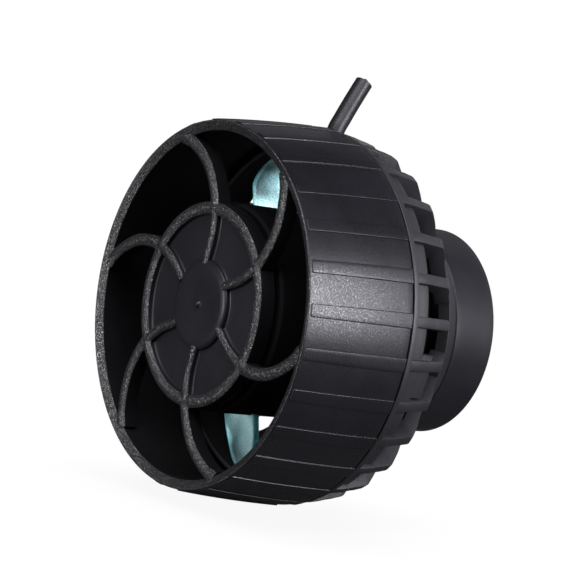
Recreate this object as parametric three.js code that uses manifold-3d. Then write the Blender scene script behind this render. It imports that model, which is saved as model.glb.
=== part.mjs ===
// Wave maker pump: a magnet-mounted aquarium circulation pump.
// Millimetres, +Z up. The pump's axis is Y: water leaves through the grille at -Y,
// and the flat rubber pad at +Y rests on the aquarium glass. Origin: centre of the pad's flat face.
import * as THREE from 'three';
import * as BufferGeometryUtils from 'three/addons/utils/BufferGeometryUtils.js';
import Module from 'manifold-3d';

const wasm = await Module();
wasm.setup();

// ---------------------------------------------------------------- driving dimensions
const RING_R = 50;              // front outside radius of the outlet ring
const TOTAL_L = 82.35;          // pad face to the front rim's outer edge
const SEG = 56;                 // facets round the large turned pieces (2 per rib)
const SEG_S = 24;               // facets round the small turned pieces
const RIBS = 28;                // ribs on the ring, and fins on the cage
const RIB_STEP = 360 / RIBS;
const RIB_0 = RIB_STEP / 2;     // first rib's angle from +X
const RIB_W = 3.3;              // rib width
const RIB_H = 0.3;              // rib height
const FIN_T = 2.9;              // cage fin thickness
const SPOKES = 6;
const SPOKE_W = 3.4;
const SPOKE_D = 4.5;            // spoke depth along the axis
const MID_R0 = 24.5, MID_R1 = 27.9;   // grille's mid ring
const DISC_R = 12.2;            // grille's centre disc
const DRUM_R = 28.6;            // hub drum's outside radius
const BLADES = 4;
const BLADE_T = 1.8;
const BLADE_SPAN_DEG = 52;      // blade's turn round the axis
const BLADE_EDGE_DEG = 106;     // leading edge of the first blade
const HOUSING_R = 28.3;         // motor housing's outside radius
const CUP_R = 29.25;            // rear cup's outside radius
const SHAFT_R = 1.5;
const BORE_R = 1.8;             // running bore on the shaft
const CABLE_R = 2.5;
const CABLE_Y = -39.5;          // where the cable leaves the motor housing
const GAP = 0.3;
const SCREW_R_POS = 22.8;       // cover screws' circle
const LOCK_DEG = [30, 150, 270];// bayonet hooks

// distance along the axis from a fraction of the ring's radius behind the front rim plane
const F = (f) => -TOTAL_L + RING_R * f;
const rad = (d) => d * Math.PI / 180;

// ---------------------------------------------------------------- helpers
function toSolid(geometry) {
  let g = geometry.clone();
  g.deleteAttribute('normal');
  g.deleteAttribute('uv');
  if (g.index) g = g.toNonIndexed();
  g = BufferGeometryUtils.mergeVertices(g, 1e-4);
  const vertProperties = new Float32Array(g.attributes.position.array);
  const idx = [];
  const src = g.index.array;
  for (let i = 0; i < src.length; i += 3) {
    const [a, b, c] = [src[i], src[i + 1], src[i + 2]];
    if (a !== b && b !== c && a !== c) idx.push(a, b, c);
  }
  // signed volume tells which way the faces point
  let v = 0;
  const p = vertProperties;
  for (let i = 0; i < idx.length; i += 3) {
    const [a, b, c] = [idx[i] * 3, idx[i + 1] * 3, idx[i + 2] * 3];
    v += p[a] * (p[b + 1] * p[c + 2] - p[b + 2] * p[c + 1])
      - p[a + 1] * (p[b] * p[c + 2] - p[b + 2] * p[c])
      + p[a + 2] * (p[b] * p[c + 1] - p[b + 1] * p[c]);
  }
  if (v < 0) for (let i = 0; i < idx.length; i += 3) [idx[i + 1], idx[i + 2]] = [idx[i + 2], idx[i + 1]];
  return new wasm.Manifold(new wasm.Mesh({ numProp: 3, vertProperties, triVerts: new Uint32Array(idx) }));
}

function toGeometry(solid) {
  const m = solid.getMesh();
  const g = new THREE.BufferGeometry();
  const pos = new Float32Array(m.numVert * 3);
  for (let i = 0; i < m.numVert; i++)
    for (let k = 0; k < 3; k++) pos[i * 3 + k] = m.vertProperties[i * m.numProp + k];
  g.setAttribute('position', new THREE.BufferAttribute(pos, 3));
  g.setIndex(Array.from(m.triVerts));
  return g;
}

// a turned solid: [radius, y] points of a closed profile, revolved round the Y axis
function turned(points, seg = SEG) {
  const pts = points.map(([r, y]) => new THREE.Vector2(r, y));
  const onAxis = points[0][0] === 0 && points[points.length - 1][0] === 0;
  if (!onAxis) pts.push(pts[0].clone());
  // facets are centred on the ribs and fins
  return toSolid(new THREE.LatheGeometry(pts, seg, Math.PI / seg));
}

// a ring of rectangular section
const tube = (r0, r1, y0, y1, seg = SEG_S) => (r0 > 0
  ? turned([[r0, y0], [r1, y0], [r1, y1], [r0, y1]], seg)
  : turned([[0, y0], [r1, y0], [r1, y1], [0, y1]], seg));

// a plate in the X-Z plane between y0 and y1, from an outline of [x, z] points
function plate(outline, y0, y1) {
  const s = new THREE.Shape(outline.map(([x, z]) => new THREE.Vector2(x, z)));
  const g = new THREE.ExtrudeGeometry(s, { depth: y1 - y0, bevelEnabled: false, steps: 1 });
  g.rotateX(Math.PI / 2);
  g.translate(0, y1, 0);
  return toSolid(g);
}

// a radial plate: outline of [radius, y] points, thickness t, at an angle from +X towards +Z
function radialPlate(outline, t, deg) {
  const s = new THREE.Shape(outline.map(([r, y]) => new THREE.Vector2(r, y)));
  const g = new THREE.ExtrudeGeometry(s, { depth: t, bevelEnabled: false, steps: 1 });
  g.translate(0, 0, -t / 2);
  g.rotateY(-rad(deg));
  return toSolid(g);
}

function block(x0, x1, y0, y1, z0, z1, deg = 0) {
  const g = new THREE.BoxGeometry(x1 - x0, y1 - y0, z1 - z0);
  g.translate((x0 + x1) / 2, (y0 + y1) / 2, (z0 + z1) / 2);
  g.rotateY(-rad(deg));
  return toSolid(g);
}

// a sector of a ring: radii, y range, angle range
function sector(r0, r1, y0, y1, a0, a1) {
  const n = 3;
  const out = [];
  for (let i = 0; i <= n; i++) { const a = rad(a0 + (a1 - a0) * i / n); out.push([r1 * Math.cos(a), r1 * Math.sin(a)]); }
  for (let i = n; i >= 0; i--) { const a = rad(a0 + (a1 - a0) * i / n); out.push([r0 * Math.cos(a), r0 * Math.sin(a)]); }
  return plate(out, y0, y1);
}

// a round bar along Y at (x, z)
function bar(r, y0, y1, x, z, seg = 14) {
  const g = new THREE.CylinderGeometry(r, r, y1 - y0, seg);
  g.translate(x, (y0 + y1) / 2, z);
  return toSolid(g);
}

// a round bar along Z at (x, y)
function barZ(r, z0, z1, x, y, seg = 24) {
  const g = new THREE.CylinderGeometry(r, r, z1 - z0, seg);
  g.rotateX(Math.PI / 2);
  g.translate(x, y, (z0 + z1) / 2);
  return toSolid(g);
}

const join = (list) => list.reduce((a, b) => a.add(b));
const polar = (r, deg) => [r * Math.cos(rad(deg)), r * Math.sin(rad(deg))];

const root = new THREE.Group();
root.name = 'wave_maker_pump';
function addPart(name, solid, color, roughness, metalness = 0, opacity = 1) {
  const material = new THREE.MeshStandardMaterial({ color, roughness, metalness });
  if (opacity < 1) { material.transparent = true; material.opacity = opacity; }
  const mesh = new THREE.Mesh(toGeometry(solid), material);
  mesh.name = name;
  root.add(mesh);
  return mesh;
}

const BLACK = 0x232328, BLACK_SATIN = 0x2a2a2f, AQUA = 0xa8e4e6, RUBBER = 0x1a1a1c, STEEL = 0xb8bbc0;

// ---------------------------------------------------------------- front shroud
// spoke centre line: angle against radius, both in the ring's own fraction of its radius
const SPOKE_LINE = [[.20, 32.5], [.25, 31.5], [.30, 29.6], [.36, 28.2], [.43, 28.4], [.50, 29.6], [.54, 30.5],
  [.62, 33.1], [.70, 36.7], [.78, 40.9], [.86, 46.0], [.95, 52.5]];
function spokeOutline(turn, i0, i1, w0, w1) {
  const c = SPOKE_LINE.slice(i0, i1).map(([r, a]) => polar(r * RING_R, a + turn));
  const left = [], right = [];
  for (let i = 0; i < c.length; i++) {
    const p = c[Math.max(0, i - 1)], q = c[Math.min(c.length - 1, i + 1)];
    const dx = q[0] - p[0], dz = q[1] - p[1], l = Math.hypot(dx, dz);
    const h = (w0 + (w1 - w0) * i / (c.length - 1)) / 2;
    left.push([c[i][0] - dz / l * h, c[i][1] + dx / l * h]);
    right.push([c[i][0] + dz / l * h, c[i][1] - dx / l * h]);
  }
  return left.concat(right.reverse());
}
{
  // ring: crowned rim, slight barrel outside, draft inside, counterbore for the bayonet at the rear
  let ring = turned([
    [47.2, F(0.022)], [49.6, F(0.0)], [50.05, F(0.010)], [51.45, F(0.25)], [52.45, F(0.639)], [49.6, F(0.639)],
    [49.6, F(0.639) - 5.0], [48.8, F(0.639) - 5.6],
  ], SEG);
  // raised ribs follow the ring's outside
  const skin = turned([
    [49.6, F(0.016)], [50.09 + RIB_H, F(0.016)], [51.45 + RIB_H, F(0.25)],
    [52.45 + RIB_H, F(0.639)], [51.0, F(0.639)],
  ], SEG);
  const bars = [];
  for (let k = 0; k < RIBS; k++) bars.push(block(45, 58, F(0) - 1, F(0.639) + 1, -RIB_W / 2, RIB_W / 2, RIB_0 + k * RIB_STEP));
  ring = ring.add(skin.intersect(join(bars)));
  // grille
  const parts = [ring];
  for (let k = 0; k < SPOKES; k++) {
    const turn = k * 360 / SPOKES;
    parts.push(plate(spokeOutline(turn, 5, 12, SPOKE_W, SPOKE_W), F(0.014), F(0.014) + SPOKE_D));
    parts.push(plate(spokeOutline(turn, 0, 7, 2.3, 2.9), F(0.014), F(0.07)));
  }
  parts.push(turned([[MID_R0, F(0.022)], [(MID_R0 + MID_R1) / 2, F(0.010)], [MID_R1, F(0.022)],
    [MID_R1, F(0.11)], [MID_R0, F(0.11)]], SEG));
  parts.push(tube(DISC_R - 1, MID_R0 + 1, F(0.05), F(0.09), SEG));
  parts.push(turned([[0, F(0.013)], [10.6, F(0.014)], [DISC_R, F(0.03)], [DISC_R, F(0.09)], [7, F(0.09)],
    [7, F(0.11)], [0, F(0.11)]], 28));
  let shroud = join(parts);
  shroud = shroud.add(turned([[0, F(-0.004)], [0.7, F(-0.002)], [1.2, F(0.015)], [0, F(0.015)]], 12));   // gate nub
  shroud = shroud.subtract(tube(0, 4.2, F(0.035), F(0.2), SEG_S));                                      // cushion pocket
  // everything stays inside the ring's outside
  // bayonet hooks
  for (const a of LOCK_DEG) shroud = shroud.add(sector(48.75, 50.6, -52.0, -50.75, a - 6, a + 6));
  addPart('front_shroud', shroud, BLACK_SATIN, 0.42);
}

// ---------------------------------------------------------------- front shaft cushion
addPart('front_shaft_cushion', turned([[0, -80.3], [3.9, -80.3], [3.9, -76.9], [BORE_R, -76.9], [BORE_R, -79.2], [0, -79.2]], SEG_S), RUBBER, 0.8);

// ---------------------------------------------------------------- rotor
// blades: helical sheets through the drum wall. The outline gives the outer radius along
// the blade, from a short straight leading edge round to the trailing edge
const BLADE_OUTLINE = [[0, 35.2], [.05, 38.5], [.10, 40.4], [.16, 42.0], [.26, 43.4], [.38, 44.25], [.53, 44.0], [.70, 42.35], [.88, 41.45], [1.12, 41.1]];
function outlineAt(t) {
  const o = BLADE_OUTLINE;
  for (let i = 1; i < o.length; i++)
    if (t <= o[i][0]) return o[i - 1][1] + (o[i][1] - o[i - 1][1]) * (t - o[i - 1][0]) / (o[i][0] - o[i - 1][0]);
  return o[o.length - 1][1];
}
function bladeSolid(startDeg, slot = false) {
  const along = slot ? [-.03, .12, .27, .42, .58, .73, .88, 1.03] : [0, .055, .17, .33, .5, .66, .83, 1];
  const nA = along.length, nR = slot ? 3 : 4;
  const yLead = F(0.395), yTrail = F(0.655);
  const pts = [];
  const idx = [];
  const half = BLADE_T / 2 + (slot ? GAP : 0);
  // two skins: front (towards -Y) and rear
  for (let side = 0; side < 2; side++)
    for (let i = 0; i < nA; i++)
      for (let j = 0; j < nR; j++) {
        let t = along[i];
        let r;
        if (slot) r = [25.2, 28.1, 31][j];
        else {
          // outboard of the drum the trailing edge rakes back
          for (let n = 0; n < 4; n++) {
            r = [25.2, 29.2, (29.2 + outlineAt(t)) / 2, outlineAt(t)][j];
            t = along[i] + 0.11 * Math.min(1, Math.max(0, (r - 29.2) / 12)) * along[i] * along[i];
          }
        }
        const s = (r - 25.2) / 19.8;
        const sweep = s * s * 5 * Math.max(t, 0);
        const a = rad(startDeg - BLADE_SPAN_DEG * t + sweep);
        const yc = yLead + (yTrail - yLead) * t;
        const x = r * Math.cos(a), z = r * Math.sin(a);
        // thickness is measured square to the helix
        const slope = (yTrail - yLead) / (rad(BLADE_SPAN_DEG) * r);
        const cosA = 1 / Math.sqrt(1 + slope * slope);
        const off = half / cosA * (side ? 1 : -1);
        pts.push(x, yc + off, z);
      }
  const id = (side, i, j) => side * nA * nR + i * nR + j;
  const quad = (a, b, c, d) => idx.push(a, b, c, a, c, d);
  for (let i = 0; i < nA - 1; i++)
    for (let j = 0; j < nR - 1; j++) {
      quad(id(0, i, j), id(0, i, j + 1), id(0, i + 1, j + 1), id(0, i + 1, j));
      quad(id(1, i, j), id(1, i + 1, j), id(1, i + 1, j + 1), id(1, i, j + 1));
    }
  for (let i = 0; i < nA - 1; i++) {
    quad(id(0, i, 0), id(0, i + 1, 0), id(1, i + 1, 0), id(1, i, 0));
    quad(id(0, i, nR - 1), id(1, i, nR - 1), id(1, i + 1, nR - 1), id(0, i + 1, nR - 1));
  }
  for (let j = 0; j < nR - 1; j++) {
    quad(id(0, 0, j), id(1, 0, j), id(1, 0, j + 1), id(0, 0, j + 1));
    quad(id(0, nA - 1, j), id(0, nA - 1, j + 1), id(1, nA - 1, j + 1), id(1, nA - 1, j));
  }
  const g = new THREE.BufferGeometry();
  g.setAttribute('position', new THREE.BufferAttribute(new Float32Array(pts), 3));
  g.setIndex(idx);
  return toSolid(g);
}
{
  let prop = tube(24.6, 26.2, F(0.30), F(0.66), 36);
  for (let k = 0; k < BLADES; k++) prop = prop.add(bladeSolid(BLADE_EDGE_DEG - k * 360 / BLADES));
  addPart('propeller', prop, AQUA, 0.35, 0, 0.6);

  let hub = turned([
    [3.4, -75.2], [27.6, -75.2], [DRUM_R, -74.2], [DRUM_R, F(0.665)], [26.6, F(0.665)], [26.6, -73.2], [6, -73.2],
    [6, -68], [3.4, -68],
  ], 44);
  for (let k = 0; k < BLADES; k++) hub = hub.subtract(bladeSolid(BLADE_EDGE_DEG - k * 360 / BLADES, true));
  addPart('propeller_hub', hub, BLACK, 0.5);

  addPart('front_bushing', tube(BORE_R, 3.1, -74.9, -68.0, 24), 0xe9e7e0, 0.4);
  addPart('front_thrust_washer', tube(BORE_R, 4.0, -76.4, -75.6, 24), 0xdad6cc, 0.4);
  addPart('rotor_carrier', turned([
    [3.4, -52.2], [24.2, -52.2], [24.2, -49.9], [5.0, -49.9], [5.0, -31.9], [3.4, -31.9],
  ], SEG_S), BLACK, 0.5);
  addPart('rotor_magnet', tube(5.3, 10.4, -47.0, -33.0, SEG_S), 0x55565c, 0.35, 0.6);
  addPart('rear_bushing', tube(BORE_R, 3.1, -37.0, -32.0, 24), 0xe9e7e0, 0.4);
  addPart('rear_thrust_washer', tube(BORE_R, 3.8, -31.6, -30.9, 24), 0xdad6cc, 0.4);
}

// ---------------------------------------------------------------- intake cage
// outside line of the fins: radius against y
const FIN_OUT = [[52.0, F(0.687)], [51.3, F(0.803)], [50.1, F(0.918)], [48.5, F(0.957)], [41.25, F(1.080)], [32.3, F(1.245)]];
const FIN_IN = [[29.6, -23.2], [43.2, -35.4], [44.9, -38.1], [46.9, F(0.687) - 0.5]];
{
  let cage = turned([
    [46.9, -53.6], [48.3, -53.6], [48.3, -50.1], [52.2, -50.1], [52.2, F(0.687)], [50.6, F(0.692)], [50.4, F(0.783)],
    [46.6, F(0.783)],
  ], SEG);
  cage = cage.add(turned([[28.8, -23.5], [31.4, -23.5], [32.4, F(1.247)], [29.4, -15.4], [28.8, -15.4]], SEG));
  const fins = [];
  for (let k = 0; k < RIBS; k++) fins.push(radialPlate([[50.0, F(0.687) - 0.5], ...FIN_OUT, [30.2, -20.1], ...FIN_IN], FIN_T, RIB_0 + k * RIB_STEP));
  cage = cage.add(join(fins));
  // rear tab on the band, at the side
  cage = cage.add(sector(46.8, 49.9, F(0.783) - 1.0, F(0.860), -17.0, -3.2));
  // cable notch through the band at the top
  cage = cage.subtract(block(-3.1, 3.1, -48.4, -42.0, 40, 60));
  // bayonet lugs with an end stop on each side of the hook's travel
  for (const a of LOCK_DEG) {
    cage = cage.add(sector(47.6, 49.3, -53.6, -52.4, a - 6, a + 6));
    cage = cage.add(sector(47.6, 49.3, -53.6, -49.9, a - 10, a - 7));
    cage = cage.add(sector(47.6, 49.3, -53.6, -49.9, a + 22.2, a + 25.2));
  }
  addPart('intake_cage', cage, BLACK, 0.5);
}

// ---------------------------------------------------------------- motor housing
{
  // outer can with a blind well for the rotor; the profile starts and ends on the axis
  let h = turned([
    [0, -25.5], [11.5, -25.5], [11.5, -48.3], [27.6, -48.3], [HOUSING_R, -47.6], [HOUSING_R, -19.6], [26.3, -19.6], [26.3, -46.3],
    [13.0, -46.3], [13.0, -24.0], [0, -24.0],
  ], 44);
  h = h.add(tube(4.9, 6.2, -28.6, -25.2, SEG_S));
  for (let k = 0; k < 4; k++) {
    const a = 45 + 90 * k;
    const [x, z] = polar(SCREW_R_POS, a);
    h = h.add(bar(2.8, -27.0, -19.6, x, z)).add(block(SCREW_R_POS, 27, -27.0, -19.6, -1.5, 1.5, a));
    h = h.subtract(bar(1.6, -26.0, -19.0, x, z, 10));
  }
  h = h.subtract(barZ(3.8, 20, 32, 0, CABLE_Y));
  addPart('motor_housing', h, BLACK, 0.5);
}

// ---------------------------------------------------------------- motor inside
{
  let core = tube(19.0, 23.0, -43.0, -29.0, 36);
  for (let k = 0; k < 6; k++) {
    core = core.add(block(13.8, 20.5, -43.0, -29.0, -2.4, 2.4, 60 * k + 30));
    core = core.add(sector(13.35, 14.2, -43.0, -29.0, 60 * k + 30 - 17, 60 * k + 30 + 17));
  }
  addPart('stator_core', core, STEEL, 0.35, 0.9);
  for (let k = 0; k < 6; k++) {
    const a = 60 * k + 30;
    const coil = block(14.6, 18.2, -45.2, -26.8, -4.5, 4.5, a).subtract(block(14.0, 19.5, -43.4, -28.6, -2.7, 2.7, a));
    addPart(`stator_coil_${k + 1}`, coil, 0xb4652d, 0.35, 0.8);
  }
  addPart('drive_board', tube(0, 19.0, -23.5, -21.9, 36), 0x1f5a3a, 0.5);
  addPart('potting_plug', tube(0, 19.2, -21.5, -19.8, 36), 0x2b2b2b, 0.6);
  addPart('ceramic_shaft', tube(0, SHAFT_R, -78.9, -27.7, 24), 0xf2f0ea, 0.25);
  addPart('rear_shaft_cushion', turned([[0, -27.3], [BORE_R, -27.3], [BORE_R, -30.5], [4.5, -30.5], [4.5, -25.9], [0, -25.9]], SEG_S), RUBBER, 0.8);
}

// ---------------------------------------------------------------- rear closure and magnet cup
{
  addPart('housing_seal', tube(26.4, 28.1, -19.3, -18.5, 36), RUBBER, 0.8);
  let cover = turned([[0, -18.2], [HOUSING_R, -18.2], [HOUSING_R, -16.0], [26.8, -16.0], [26.8, -10.0], [25.2, -10.0], [25.2, -16.0], [0, -16.0]], 32);
  for (let k = 0; k < 4; k++) {
    const [x, z] = polar(SCREW_R_POS, 45 + 90 * k);
    cover = cover.subtract(bar(1.7, -19, -15, x, z));
  }
  addPart('housing_cover', cover, BLACK, 0.5);
  for (let k = 0; k < 4; k++) {
    const [x, z] = polar(SCREW_R_POS, 45 + 90 * k);
    let s = bar(1.25, -25.2, -15.4, x, z, 12).add(bar(2.0, -15.7, -14.2, x, z, 16));
    const slot = new THREE.BoxGeometry(2.6, 0.9, 0.6);
    slot.translate(x, -14.2, z);
    const slot2 = new THREE.BoxGeometry(0.6, 0.9, 2.6);
    slot2.translate(x, -14.2, z);
    s = s.subtract(toSolid(slot)).subtract(toSolid(slot2));
    addPart(`cover_screw_${k + 1}`, s, STEEL, 0.3, 1);
  }
  addPart('magnet_yoke', tube(0, 22.5, -10.8, -9.0, 48), STEEL, 0.35, 0.9);
  addPart('mount_magnet', tube(0, 22.0, -8.6, -3.0, 48), 0x9a9ca2, 0.3, 0.9);
  addPart('rear_cup', turned([
    [0, -2.6], [27.1, -2.6], [27.1, -15.0], [28.85, -15.0], [CUP_R, -14.6], [CUP_R, -1.6], [28.65, -0.9], [28.25, -0.8], [24.6, -0.8],
    [24.6, -1.6], [0, -1.6],
  ], 48), BLACK_SATIN, 0.38);
  addPart('glass_pad', tube(0, 24.2, -1.3, 0, 48), RUBBER, 0.75);
}

// ---------------------------------------------------------------- cable and its gland
{
  const g = turned([[CABLE_R + GAP, 25.6], [3.5, 25.6], [3.5, 28.6], [4.6, 28.6], [4.6, 31.0], [3.9, 33.6], [CABLE_R + GAP, 33.6]], 24);
  const gg = toGeometry(g);
  gg.rotateX(Math.PI / 2);          // the gland's axis becomes Z
  gg.translate(0, CABLE_Y, 0);
  addPart('cable_gland', toSolid(gg), RUBBER, 0.7);
  const path = new THREE.CatmullRomCurve3([
    [0, CABLE_Y, 25.2], [0, CABLE_Y, 30.0], [0, CABLE_Y - 0.1, 34.5], [0, -41.5, 40.0], [0, -44.0, 45.5], [0, -45.2, 50.0],
    [0, -44.8, 52.8], [0, -43.5, 55.6], [0, -41.55, 59.6], [0, -39.6, 63.4], [0, -37.8, 66.8],
  ].map((p) => new THREE.Vector3(...p)), false, 'centripetal');
  const circle = new THREE.Shape();
  circle.absarc(0, 0, CABLE_R, 0, Math.PI * 2, false);
  const cable = new THREE.ExtrudeGeometry(circle, { extrudePath: path, steps: 18, curveSegments: 7, bevelEnabled: false });
  addPart('power_cable', toSolid(cable), 0x1c1c20, 0.55);
}

export default root;
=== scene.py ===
"""A round aquarium circulation pump, built in millimetres and stored in metres.

The pump's axis lies along Y. The rubber pad's face is at y = 0 and the pump reaches forward, towards
-Y, to the rim plane of the front ring. +Z is up, and the cable leaves through the top.
"""
import math

import bmesh
import bpy
import numpy as np
from mathutils import Matrix, Vector


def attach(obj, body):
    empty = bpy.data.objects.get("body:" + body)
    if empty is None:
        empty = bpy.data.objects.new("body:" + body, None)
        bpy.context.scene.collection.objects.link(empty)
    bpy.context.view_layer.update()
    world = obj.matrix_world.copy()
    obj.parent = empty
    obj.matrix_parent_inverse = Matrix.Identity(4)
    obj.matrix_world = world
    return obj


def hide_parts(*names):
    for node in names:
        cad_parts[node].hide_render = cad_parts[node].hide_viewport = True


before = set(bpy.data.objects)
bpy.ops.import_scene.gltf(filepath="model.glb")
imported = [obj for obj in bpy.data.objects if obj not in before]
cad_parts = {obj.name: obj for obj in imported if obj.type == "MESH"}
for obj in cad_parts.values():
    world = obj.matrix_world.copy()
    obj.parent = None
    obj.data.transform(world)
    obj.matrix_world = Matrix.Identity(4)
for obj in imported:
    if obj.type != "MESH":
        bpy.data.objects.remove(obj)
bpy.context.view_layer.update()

MM = 0.001
RING_R = 50.0               # outside radius of the ring at its front
LENGTH = 82.35              # pad face to rim plane
RIBS = 28                   # ribs round the ring, and fins round the cage
RIB_STEP = 360.0 / RIBS     # degrees
RING_DEPTH = 0.639          # depth of the ring behind the rim plane, in ring radii
LATCH_ANGLES = (30, 150, 270)   # where the ring's hooks and the cage's lugs sit, degrees
GLAND_Y = -39.5             # where the cable's axis leaves the housing


def rim_y(depth):
    """y in mm for a depth behind the rim plane given in ring radii"""
    return -LENGTH + RING_R * depth


# ------------------------------------------------------------------ shader helpers
def set_inputs(tree, node, inputs):
    """links the inputs given as sockets and sets the others"""
    for key, value in inputs.items():
        if isinstance(value, bpy.types.NodeSocket):
            tree.links.new(value, node.inputs[key])
        else:
            node.inputs[key].default_value = value


def add_node(tree, kind, inputs=None, **settings):
    node = tree.nodes.new("ShaderNode" + kind)
    for name, value in settings.items():
        setattr(node, name, value)
    set_inputs(tree, node, inputs or {})
    return node


def empty_tree(owner):
    owner.use_nodes = True
    owner.node_tree.nodes.clear()
    return owner.node_tree


def new_material(name):
    """a material with one Principled shader: (material, tree, shader, object coordinates)"""
    material = bpy.data.materials.new(name)
    tree = empty_tree(material)
    output = add_node(tree, "OutputMaterial")
    shader = add_node(tree, "BsdfPrincipled")
    tree.links.new(shader.outputs["BSDF"], output.inputs["Surface"])
    return material, tree, shader, add_node(tree, "TexCoord").outputs["Object"]


def noise(tree, vector, scale, detail, rough):
    inputs = {"Vector": vector, "Scale": scale, "Detail": detail, "Roughness": rough}
    return add_node(tree, "TexNoise", inputs).outputs["Fac"]


def remap(tree, value, span, to):
    """maps the range span onto the range to"""
    inputs = {"Value": value, "From Min": span[0], "From Max": span[1],
              "To Min": to[0], "To Max": to[1]}
    return add_node(tree, "MapRange", inputs).outputs["Result"]


def mix_color(tree, factor, first, second, **settings):
    inputs = {"Factor": factor, "A": first, "B": second}
    return add_node(tree, "Mix", inputs, data_type="RGBA", **settings).outputs["Result"]


def bump(tree, height, strength, distance, normal=None):
    inputs = {"Height": height, "Strength": strength, "Distance": distance}
    if normal is not None:
        inputs["Normal"] = normal
    return add_node(tree, "Bump", inputs).outputs["Normal"]


def calc(tree, operation, *operands):
    return add_node(tree, "Math", dict(enumerate(operands)), operation=operation).outputs[0]


def tint(color, factor):
    return tuple(part * factor for part in color) + (1.0,)


# ------------------------------------------------------------------ materials
def moulded(name, base, rough, grain_mm, grain, wave=0.0, spec=0.5, speck=0.0, glint_fleck=0.0):
    """moulded plastic with a fine grain and a slow drift of colour and gloss

    grain is the strength of the grain's bump, wave that of a slow unevenness, speck the extra shine
    of the grain's peaks, and the fleck the lighter grey they are coloured: grain, and partly a
    painted glint standing in for their sparkle.
    """
    material, tree, shader, vector = new_material(name)
    drift = noise(tree, vector, scale=60.0, detail=3.0, rough=0.55)
    fine = noise(tree, vector, scale=1.0 / (grain_mm * MM), detail=2.5, rough=0.62)
    color = mix_color(tree, remap(tree, drift, span=(0.3, 0.7), to=(0.0, 1.0)),
                      tint(base, 0.82), tint(base, 1.22))
    if glint_fleck > 0:
        # partly painted glint: the grain's peaks are tinted a lighter grey that stands in for their
        # sparkle
        peaks = remap(tree, fine, span=(0.50, 0.66), to=(0.0, 1.0))
        color = mix_color(tree, peaks, color, (glint_fleck, glint_fleck, glint_fleck * 1.08, 1.0))
    # the grain's peaks are glossier than its valleys
    grain_rough = remap(tree, fine, span=(0.35, 0.72), to=(rough + 0.10, rough - 0.10))
    drift_rough = remap(tree, drift, span=(0.3, 0.7), to=(-0.03, 0.03))
    normal = bump(tree, fine, strength=grain, distance=grain_mm * MM * 0.5)
    if wave > 0:
        slow = noise(tree, vector, scale=22.0, detail=1.0, rough=0.4)
        normal = bump(tree, slow, strength=wave, distance=0.004, normal=normal)
    set_inputs(tree, shader, {
        "Base Color": color,
        "Roughness": calc(tree, "ADD", grain_rough, drift_rough),
        "Specular IOR Level": spec,
        "Normal": normal,
    })
    if speck > 0:
        shine = remap(tree, fine, span=(0.52, 0.72), to=(spec * 0.6, spec + speck))
        set_inputs(tree, shader, {"Specular IOR Level": shine})
    return material


def metal(name, color, rough, brushed=0.3):
    """metal brushed along Y; brushed is the strength of the brush marks"""
    material, tree, shader, vector = new_material(name)
    stretched = add_node(tree, "Mapping", {"Vector": vector, "Scale": (1.0, 0.06, 1.0)})
    marks = noise(tree, stretched.outputs["Vector"], scale=2600.0, detail=2.0, rough=0.6)
    slow = noise(tree, vector, scale=120.0, detail=3.0, rough=0.5)
    set_inputs(tree, shader, {
        "Base Color": mix_color(tree, slow, tint(color, 0.85), tint(color, 1.0)),
        "Metallic": 1.0,
        "Roughness": remap(tree, marks, span=(0.3, 0.7), to=(rough - 0.06, rough + 0.1)),
        "Normal": bump(tree, marks, strength=brushed, distance=0.00005),
    })
    return material


def copper_winding():
    material, tree, shader, vector = new_material("copper_winding")
    turns = add_node(tree, "TexWave", {"Vector": vector, "Scale": 900.0, "Distortion": 0.6},
                     wave_type="BANDS", bands_direction="Y").outputs["Fac"]
    set_inputs(tree, shader, {
        "Base Color": mix_color(tree, turns, (0.30, 0.09, 0.03, 1), (0.80, 0.34, 0.14, 1)),
        "Metallic": 0.9,
        "Roughness": 0.3,
        "Normal": bump(tree, turns, strength=0.8, distance=0.00015),
    })
    return material


def ceramic():
    material, tree, shader, vector = new_material("ceramic_offwhite")
    mottle = noise(tree, vector, scale=900.0, detail=3.0, rough=0.6)
    set_inputs(tree, shader, {
        "Base Color": mix_color(tree, mottle, (0.74, 0.72, 0.66, 1), (0.86, 0.85, 0.80, 1)),
        "Roughness": remap(tree, mottle, span=(0.3, 0.7), to=(0.16, 0.28)),
        "Normal": bump(tree, mottle, strength=0.05, distance=0.0001),
    })
    return material


def circuit_board():
    material, tree, shader, vector = new_material("board_green")
    cells = add_node(tree, "TexVoronoi", {"Vector": vector, "Scale": 420.0},
                     distance="CHEBYCHEV").outputs["Distance"]
    edges = remap(tree, cells, span=(0.2, 0.5), to=(0, 1))
    set_inputs(tree, shader, {
        "Base Color": mix_color(tree, edges, (0.02, 0.12, 0.06, 1), (0.03, 0.20, 0.10, 1)),
        "Roughness": 0.35,
        "Normal": bump(tree, cells, strength=0.3, distance=0.0002),
    })
    return material


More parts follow.
